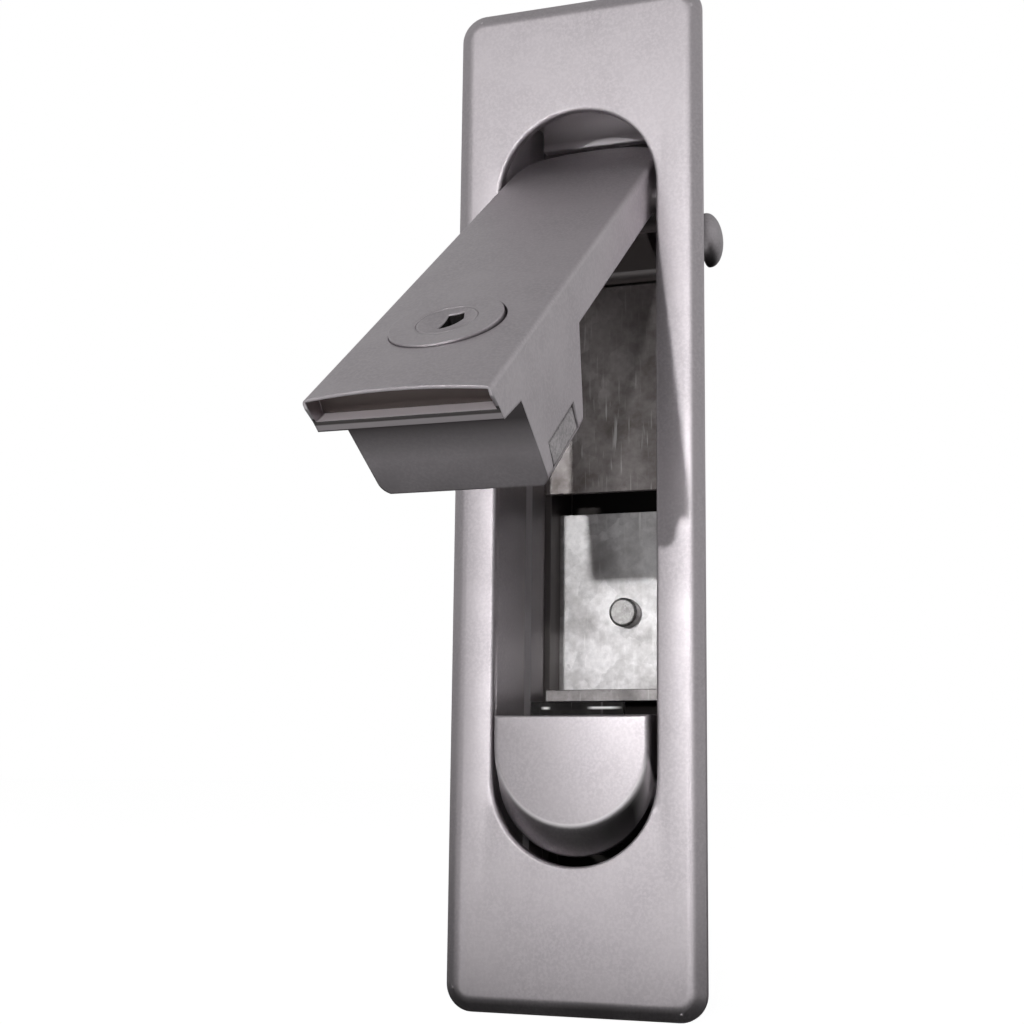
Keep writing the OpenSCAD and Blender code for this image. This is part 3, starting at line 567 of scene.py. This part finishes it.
def buttonLoop(c, blend, inset):
    half = c["bodyHalf"] + (c["faceHalf"] - c["bodyHalf"]) * blend - inset
    centre = c["bodyCentre"] + (c["faceCentre"] - c["bodyCentre"]) * blend
    top = c["top"] - inset * c["topInset"]
    pts = []
    for i in range(c["topSteps"]):  # along the straight top, left to right
        pts.append((-half + 2 * half * i / c["topSteps"], top))
    for i in range(c["sideSteps"]):  # down the right side
        pts.append((half, top + (centre - top) * i / c["sideSteps"]))
    for i in range(c["arc"]):  # round the bottom
        a = math.pi * i / c["arc"]
        pts.append((half * math.cos(a), centre - half * math.sin(a)))
    for i in range(c["sideSteps"]):  # up the left side
        pts.append((-half, centre + (top - centre) * i / c["sideSteps"]))
    return pts


def addLoop(bm, pts, y):
    return [bm.verts.new((x * mm, y * mm, z * mm)) for x, z in pts]


def bridge(bm, a, b):
    for i in range(len(a)):
        j = (i + 1) % len(a)
        bm.faces.new((a[i], a[j], b[j], b[i]))


def buttonFront(bm, c):
    loops = [addLoop(bm, buttonLoop(c, t, i), y) for t, i, y in c["profile"]]
    for a, b in zip(loops, loops[1:]):
        bridge(bm, a, b)
    blend, inset = c["profile"][-1][:2]
    ring = buttonLoop(c, blend, inset)
    inner = loops[-1]
    for k in range(1, c["faceRings"]):
        share = k / c["faceRings"]
        pts = [(x - x * share, z + (c["faceMiddle"] - z) * share) for x, z in ring]
        nxt = addLoop(bm, pts, c["faceY"] - c["crown"] * (1 - (1 - share) ** 2))
        bridge(bm, inner, nxt)
        inner = nxt
    bm.faces.new(inner)
    bm.faces.new(loops[0][::-1])


def buttonWall(bm, c):
    # wall round the sides and bottom behind the face
    outer, inner = [], []
    for i in range(c["arc"] + 1):
        a = math.pi * i / c["arc"]
        outer.append((math.cos(a) * c["bodyHalf"], c["bodyCentre"] - c["bodyHalf"] * math.sin(a)))
        r = c["bodyHalf"] - c["wall"]
        inner.append((math.cos(a) * r, c["bodyCentre"] - r * math.sin(a)))
    outer = [(c["bodyHalf"], c["top"])] + outer + [(-c["bodyHalf"], c["top"])]
    inner = [(c["bodyHalf"] - c["wall"], c["top"])] + inner + [(c["wall"] - c["bodyHalf"], c["top"])]
    ring = outer + inner[::-1]
    front = addLoop(bm, ring, c["innerY"] - c["lap"])
    back = addLoop(bm, ring, c["backY"])
    bridge(bm, front, back)
    n = len(outer)
    for loop, flip in ((front, True), (back, False)):
        for i in range(n - 1):
            quad = [loop[i], loop[i + 1], loop[2 * n - 2 - i], loop[2 * n - 1 - i]]
            bm.faces.new(quad[::-1] if flip else quad)


def buttonLug(bm, c, side):
    outline, hole = [], []
    for i in range(c["lugSteps"]):
        a = 2 * math.pi * i / c["lugSteps"]
        hole.append((c["pinY"] + c["pinR"] * math.cos(a), c["pinZ"] + c["pinR"] * math.sin(a)))
        y = c["pinY"] + c["lugR"] * math.cos(a)
        if math.cos(a) < 0:  # the lug's root runs forward to the face
            y = c["pinY"] + (c["pinY"] - c["innerY"] + c["lap"]) * math.cos(a) * c["lugReach"]
        outline.append((max(y, c["innerY"] - c["lap"]), c["pinZ"] + c["lugR"] * math.sin(a)))
    sides = []
    for x in (c["lugIn"] * side, c["lugOut"] * side):
        sides.append([[bm.verts.new((x * mm, y * mm, z * mm)) for y, z in pts] for pts in (outline, hole)])
    for loops in sides:
        bridge(bm, loops[0], loops[1])
    bridge(bm, sides[0][0], sides[1][0])
    bridge(bm, sides[0][1], sides[1][1])


def makeButton(c):
    bm = bmesh.new()
    buttonFront(bm, c)
    for v in bm.verts:  # crown the face from side to side
        share = min(1.0, max(0.0, (c["edgeY"] - v.co.y / mm) / (c["edgeY"] - c["faceY"])))
        v.co.y -= share * c["sideCrown"] * (1 - (v.co.x / mm / c["bodyHalf"]) ** 2) * mm
        v.co.y -= share * c["tilt"] * (v.co.z - c["faceCentre"] * mm)
    buttonWall(bm, c)
    buttonLug(bm, c, -1)
    buttonLug(bm, c, 1)
    bmesh.ops.recalc_face_normals(bm, faces=bm.faces[:])
    return placePiece(bm, "buttonCap", "button", ["push_button"], buttonZinc, 40.0)


makeButton(buttonSet)
print("button made")

# key lock: a flat barrel nearly flush with the handle and a dished plug with its keyhole
lockSet = {
    "hingeY": 4.1, "hingeZ": 45.55, "openDegrees": 51.4, "frontY": -1.9, "lockZ": -14.8,
    "front": -1.0, "rimX": -0.14, "rimR": 7.42, "edge": 0.13, "bodyR": 6.4, "shoulder": 1.5, "back": 11.0,
    "boreR": 4.02, "plugR": 3.98, "dishR": 3.8, "dishDepth": 0.85, "plugBack": 11.15, "tailBack": 12.6,
    "tail": 2.0, "tailLap": 0.1, "keyDeep": 6.0, "keyEdge": 0.12, "keyLand": 0.03, "plugEdge": 0.06,
    "boreEdge": 0.05, "boreLand": 0.9, "rimLand": 0.3, "edgeSteps": 4, "dishSteps": 6, "turns": 96,
    "keyhole": ((-0.8, 2.6), (1.3, 2.85), (1.55, 1.4), (-1.2, -1.0)), "keyMiddle": (0.2, 1.45),
}


def openTurn(c):
    pin = Matrix.Translation((0, c["hingeY"] * mm, c["hingeZ"] * mm))
    return pin @ Matrix.Rotation(math.radians(-c["openDegrees"]), 4, "X") @ pin.inverted()


def ringAt(bm, c, radius, depth, shift=0.0):
    out = []
    for i in range(c["turns"]):
        a = 2 * math.pi * i / c["turns"]
        out.append(bm.verts.new(((shift + radius * math.cos(a)) * mm, (c["frontY"] + depth) * mm,
                                 (c["lockZ"] + radius * math.sin(a)) * mm)))
    return out


def makeBarrel(c):
    bm = bmesh.new()
    e = c["edge"]
    front = c["front"]
    rims = [(c["boreR"], c["back"], 0), (c["boreR"], front + c["boreEdge"], 0),
            (c["boreR"] + c["boreEdge"], front, 0), (c["boreR"] + c["boreLand"], front, 0),
            (c["rimR"] - e - c["rimLand"], front, c["rimX"]), (c["rimR"] - e, front, c["rimX"])]
    for k in range(1, c["edgeSteps"] + 1):
        a = math.pi / 2 * k / c["edgeSteps"]
        rims.append((c["rimR"] - e + e * math.sin(a), front + e - e * math.cos(a), c["rimX"]))
    rims += [(c["rimR"], c["shoulder"], c["rimX"]), (c["bodyR"], c["shoulder"], 0),
             (c["bodyR"], c["back"], 0)]
    loops = [ringAt(bm, c, r, d, x) for r, d, x in rims]
    for i in range(len(loops)):
        bridge(bm, loops[i], loops[(i + 1) % len(loops)])
    bmesh.ops.recalc_face_normals(bm, faces=bm.faces[:])
    bmesh.ops.transform(bm, matrix=openTurn(c), verts=bm.verts[:])
    return placePiece(bm, "barrelShell", "handle", ["lock_barrel"], satinZinc, 50.0)


def edgeReach(points, middle, angle):
    # distance from the middle to the keyhole's outline in one direction
    dx, dz = math.cos(angle), math.sin(angle)
    best = 99.0
    for i in range(len(points)):
        ax, az = points[i]
        bx, bz = points[(i + 1) % len(points)]
        ex, ez = bx - ax, bz - az
        det = dx * ez - dz * ex
        if abs(det) < 1e-9:
            continue
        t = ((ax - middle[0]) * ez - (az - middle[1]) * ex) / det
        u = ((ax - middle[0]) * dz - (az - middle[1]) * dx) / det
        if t > 0 and -1e-6 <= u <= 1 + 1e-6:
            best = min(best, t)
    return best


def circleReach(radius, middle, angle):
    dx, dz = math.cos(angle), math.sin(angle)
    along = middle[0] * dx + middle[1] * dz
    return -along + math.sqrt(along ** 2 + radius ** 2 - middle[0] ** 2 - middle[1] ** 2)


def makePlug(c):
    bm = bmesh.new()
    mx, mz = c["keyMiddle"]

    def loopAt(share, depthShift=0.0):
        out = []
        for i in range(c["turns"]):
            a = 2 * math.pi * i / c["turns"]
            inner = edgeReach(c["keyhole"], c["keyMiddle"], a)
            reach = inner + (circleReach(c["dishR"], c["keyMiddle"], a) - inner) * share
            x = mx + reach * math.cos(a)
            z = mz + reach * math.sin(a)
            fall = 1 - min(1.0, math.hypot(x, z) / c["dishR"])
            d = c["front"] + c["dishDepth"] * (1 - (1 - fall) ** 2) + depthShift
            out.append(bm.verts.new((x * mm, (c["frontY"] + d) * mm, (c["lockZ"] + z) * mm)))
        return out

    def spinRing(radius, depth):
        # same number and order of points as the dish's loops
        out = []
        for i in range(c["turns"]):
            a = 2 * math.pi * i / c["turns"]
            reach = circleReach(radius, c["keyMiddle"], a)
            out.append(bm.verts.new(((mx + reach * math.cos(a)) * mm, (c["frontY"] + depth) * mm,
                                     (c["lockZ"] + mz + reach * math.sin(a)) * mm)))
        return out

    deep = loopAt(0.0, c["keyDeep"])
    loops = [deep, loopAt(0.0, c["keyEdge"]), loopAt(c["keyLand"])]
    loops += [loopAt(k / c["dishSteps"]) for k in range(1, c["dishSteps"] + 1)]
    loops += [spinRing(c["plugR"], c["front"] + c["plugEdge"]), spinRing(c["plugR"], c["plugBack"])]
    for a, b in zip(loops, loops[1:]):
        bridge(bm, a, b)
    bm.faces.new(deep[::-1])
    bm.faces.new(loops[-1])
    # faces inside the keyhole take the second material, near black: painted shade
    hole = set(deep) | set(loops[1])
    for f in bm.faces:
        if all(v in hole for v in f.verts):
            f.material_index = 1
    box = bmesh.ops.create_cube(bm, size=1.0)["verts"]
    long = c["tailBack"] - c["plugBack"] + c["tailLap"]
    tailY = c["frontY"] + c["plugBack"] - c["tailLap"] + long / 2
    size = Matrix.Diagonal((2 * c["tail"] * mm, long * mm, 2 * c["tail"] * mm, 1))
    place = Matrix.Translation((0, tailY * mm, c["lockZ"] * mm))
    bmesh.ops.transform(bm, matrix=place @ size, verts=box)
    bmesh.ops.recalc_face_normals(bm, faces=bm.faces[:])
    bmesh.ops.transform(bm, matrix=openTurn(c), verts=bm.verts[:])
    ob = placePiece(bm, "plugShell", "plug", ["lock_plug"], satinZinc, 40.0)
    ob.data.materials.append(keyholePaintedShade)
    return ob


makeBarrel(lockSet)
makePlug(lockSet)
print("key lock made")

# plain nodes: their finish and a light edge break
nodeFinish = {
    "handle": handleZinc, "rear_frame": frameSheet, "spring_bracket": bracketSheet,
    "catch_plate": catchSteel, "slider_plate": slidingSheet, "block_cover": galvanisedSheet,
    "side_bolt": boltMetal, "guide_rivet": guideHead, "latch_stud": polishedStud,
    "hinge_clip": springWire, "handle_spring": springWire, "button_spring": springWire,
}
screws = ["frame_screw_1", "frame_screw_2", "frame_screw_3", "frame_screw_4"]
for nodeName in ["lock_cam", "cam_screw", "hinge_pin", "button_pin", "bracket_rivet", "catch_rivet_l",
                 "catch_rivet_r"] + screws:
    nodeFinish[nodeName] = rivetSteel
ringSeats = screws + ["guide_rivet", "lock_cam"]  # flat rings that must stay cut into small faces
edgeBreak = {"handle": 0.22, "slider_plate": 0.15, "rear_frame": 0.2, "guide_rivet": 0.15, "side_bolt": 0.3}
plainBreak = 0.12
breakSteps = 3
breakAngle = math.radians(35)


def dressNode(name, finish):
    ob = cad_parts[name]
    ob.data.materials.clear()
    ob.data.materials.append(finish)
    weld = ob.modifiers.new("weld", "WELD")
    weld.merge_threshold = weldGap
    if name.endswith("spring"):
        return
    if name not in ringSeats:
        flat = ob.modifiers.new("flat", "DECIMATE")
        flat.decimate_type = "DISSOLVE"
        flat.angle_limit = flatAngle
    edge = ob.modifiers.new("edge", "BEVEL")
    edge.width = edgeBreak.get(name, plainBreak) * mm
    edge.segments = breakSteps
    edge.loop_slide = name == "handle"
    edge.limit_method = "ANGLE"
    edge.angle_limit = breakAngle
    split = ob.modifiers.new("split", "TRIANGULATE")
    split.min_vertices = 5
    even = ob.modifiers.new("evenNormals", "WEIGHTED_NORMAL")
    even.keep_sharp = True


for nodeName, finish in nodeFinish.items():
    dressNode(nodeName, finish)
print("nodes dressed")

# floor, world and lamps
studio = {
    "floorGap": 0.3, "floorSize": 1.4, "floorWhite": 0.968, "floorAlbedo": 0.30, "floorDark": 0.012,
    # to glossy rays the floor is near black (painted shade in reflections) except for a glowing band in
    # front of the lock (painted reflection light)
    "floorReflectGlow": 0.98, "glowFrom": -0.043, "glowTo": -0.066,
    "glowFadeFrom": -0.082, "glowFadeTo": -0.108, "glowFar": 0.45, "fill": 0.09,
    "keyDirection": (-0.088, -1.0, 0.068), "keyDistance": 0.9, "keySize": 0.018, "keyPower": 0.118,
    "keyAim": (0.0, 0.0, 0.06), "keySpread": 43.0,
    "sideDirection": (0.244, -1.0, 0.19), "sideSize": 0.03, "sidePower": 0.9,
    "boxAzimuth": -22.0, "boxElevation": 27.0, "boxDistance": 0.8,
    "boxSize": (0.5, 0.4), "boxPower": 0.5, "frontLevel": 0.45, "frontFrom": -0.85, "frontTo": 0.1,
    "rightLevel": 1.5, "rightFrom": 0.2, "rightTo": 0.9,
    # grey of the room from straight below to straight above, as metal shows it
    "roomTones": ((0.0, 0.06), (0.40, 0.12), (0.52, 0.42), (0.62, 0.50), (0.8, 0.48), (1.0, 0.42)),
}


def makeFloor(c):
    bm = bmesh.new()
    bmesh.ops.create_grid(bm, x_segments=4, y_segments=4, size=c["floorSize"])
    me = bpy.data.meshes.new("floor")
    bm.to_mesh(me)
    bm.free()
    ob = bpy.data.objects.new("floor", me)
    scene.collection.objects.link(ob)
    ob.location = (0, 0, cadBox[0][2] - c["floorGap"] * mm)
    m = bpy.data.materials.new("paleFloor")
    m.use_nodes = True
    t = m.node_tree
    t.nodes.clear()
    out = addNode(t, "ShaderNodeOutputMaterial", 600, 0)
    add = addNode(t, "ShaderNodeAddShader", 400, 0)
    matt = addNode(t, "ShaderNodeBsdfDiffuse", 150, 120)
    glow = addNode(t, "ShaderNodeEmission", 150, -80)
    path = addNode(t, "ShaderNodeLightPath", -400, -80)
    # to glossy rays the floor's colour drops to floorDark: painted shade in reflections
    tone = mixColour(t, -60, 160, path.outputs["Is Glossy Ray"],
                     (c["floorAlbedo"],) * 3, (c["floorDark"],) * 3)
    t.links.new(tone, matt.inputs["Color"])
    co = addNode(t, "ShaderNodeTexCoord", -800, -260)
    axes = addNode(t, "ShaderNodeSeparateXYZ", -620, -260)
    t.links.new(co.outputs["Object"], axes.inputs["Vector"])
    # a band of the floor in front of the lock glows for glossy rays only: painted reflection light
    reflectGlow = addNode(t, "ShaderNodeMath", -200, -160, operation="MULTIPLY")
    along = axes.outputs["Y"]
    near = mapRange(t, -420, -260, along, c["glowFrom"], c["glowTo"], 0.0, c["floorReflectGlow"])
    far = mapRange(t, -420, -460, along, c["glowFadeFrom"], c["glowFadeTo"], 1.0, c["glowFar"])
    reach = addNode(t, "ShaderNodeMath", -240, -320, operation="MULTIPLY")
    t.links.new(near, reach.inputs[0])
    t.links.new(far, reach.inputs[1])
    t.links.new(reach.outputs["Value"], reflectGlow.inputs[1])
    seen = addNode(t, "ShaderNodeMath", -30, -80, operation="MULTIPLY_ADD")
    seen.inputs[1].default_value = c["floorWhite"]
    t.links.new(path.outputs["Is Glossy Ray"], reflectGlow.inputs[0])
    t.links.new(path.outputs["Is Camera Ray"], seen.inputs[0])
    t.links.new(reflectGlow.outputs["Value"], seen.inputs[2])
    t.links.new(seen.outputs["Value"], glow.inputs["Strength"])
    t.links.new(matt.outputs["BSDF"], add.inputs[0])
    t.links.new(glow.outputs["Emission"], add.inputs[1])
    t.links.new(add.outputs["Shader"], out.inputs["Surface"])
    me.materials.append(m)


def makeWorld(c):
    w = bpy.data.worlds.new("studioWorld")
    scene.world = w
    w.use_nodes = True
    t = w.node_tree
    t.nodes.clear()
    out = addNode(t, "ShaderNodeOutputWorld", 800, 0)
    mix = addNode(t, "ShaderNodeMixShader", 600, 0)
    white = addNode(t, "ShaderNodeBackground", 350, -160)
    soft = addNode(t, "ShaderNodeBackground", 350, 60)
    path = addNode(t, "ShaderNodeLightPath", -300, 320)
    seen = addNode(t, "ShaderNodeMath", 350, 280, operation="MAXIMUM")
    t.links.new(path.outputs["Is Camera Ray"], seen.inputs[0])
    t.links.new(path.outputs["Is Transmission Ray"], seen.inputs[1])
    co = addNode(t, "ShaderNodeTexCoord", -700, 0)
    axes = addNode(t, "ShaderNodeSeparateXYZ", -520, 0)
    t.links.new(co.outputs["Generated"], axes.inputs["Vector"])
    ramp = addNode(t, "ShaderNodeValToRGB", -160, 0)
    t.links.new(mapRange(t, -340, 0, axes.outputs["Z"], -1.0, 1.0, 0.0, 1.0), ramp.inputs["Fac"])
    stops = c["roomTones"]
    ramp.color_ramp.elements[0].position = stops[0][0]
    ramp.color_ramp.elements[1].position = stops[-1][0]
    for place, level in stops[1:-1]:
        ramp.color_ramp.elements.new(place)
    for stop, (place, level) in zip(ramp.color_ramp.elements, stops):
        stop.color = (level, level, level, 1)
    front = addNode(t, "ShaderNodeMix", -20, -200, data_type="RGBA", blend_type="MULTIPLY")
    front.inputs["Factor"].default_value = 1.0
    t.links.new(ramp.outputs["Color"], front.inputs[6])
    t.links.new(mapRange(t, -340, -240, axes.outputs["Y"], c["frontFrom"], c["frontTo"],
                         c["frontLevel"], 1.0), front.inputs[7])
    side = addNode(t, "ShaderNodeMix", 60, -300, data_type="RGBA", blend_type="MULTIPLY")
    side.inputs["Factor"].default_value = 1.0
    t.links.new(front.outputs[2], side.inputs[6])
    t.links.new(mapRange(t, -340, -460, axes.outputs["X"], c["rightFrom"], c["rightTo"],
                         1.0, c["rightLevel"]), side.inputs[7])
    both = addNode(t, "ShaderNodeMix", 120, 60, data_type="RGBA")
    t.links.new(path.outputs["Is Glossy Ray"], both.inputs["Factor"])
    both.inputs[6].default_value = (c["fill"], c["fill"], c["fill"], 1)
    t.links.new(side.outputs[2], both.inputs[7])
    t.links.new(both.outputs[2], soft.inputs["Color"])
    white.inputs["Color"].default_value = (1, 1, 1, 1)
    t.links.new(seen.outputs["Value"], mix.inputs["Fac"])
    t.links.new(soft.outputs["Background"], mix.inputs[1])
    t.links.new(white.outputs["Background"], mix.inputs[2])
    t.links.new(mix.outputs["Shader"], out.inputs["Surface"])


def addLamp(name, place, size, power, aim=(0.0, 0.0, 0.0), spread=180.0):
    data = bpy.data.lights.new(name, "AREA")
    data.shape = "RECTANGLE"
    data.size, data.size_y = size
    data.energy = power
    data.spread = math.radians(spread)
    ob = bpy.data.objects.new(name, data)
    scene.collection.objects.link(ob)
    ob.location = place
    ob.rotation_euler = (Vector(aim) - Vector(place)).to_track_quat("-Z", "Y").to_euler()


makeFloor(studio)
makeWorld(studio)
addLamp("keyLamp", Vector(studio["keyDirection"]).normalized() * studio["keyDistance"],
        (studio["keySize"], studio["keySize"]), studio["keyPower"], studio["keyAim"], studio["keySpread"])
addLamp("sideLamp", Vector(studio["sideDirection"]).normalized() * studio["keyDistance"],
        (studio["sideSize"], studio["sideSize"]), studio["sidePower"])
boxAz = math.radians(studio["boxAzimuth"])
boxEl = math.radians(studio["boxElevation"])
boxPlace = Vector((math.sin(boxAz) * math.cos(boxEl), -math.cos(boxAz) * math.cos(boxEl),
                   math.sin(boxEl)))
addLamp("softBox", boxPlace * studio["boxDistance"], studio["boxSize"], studio["boxPower"])
print("studio lit")
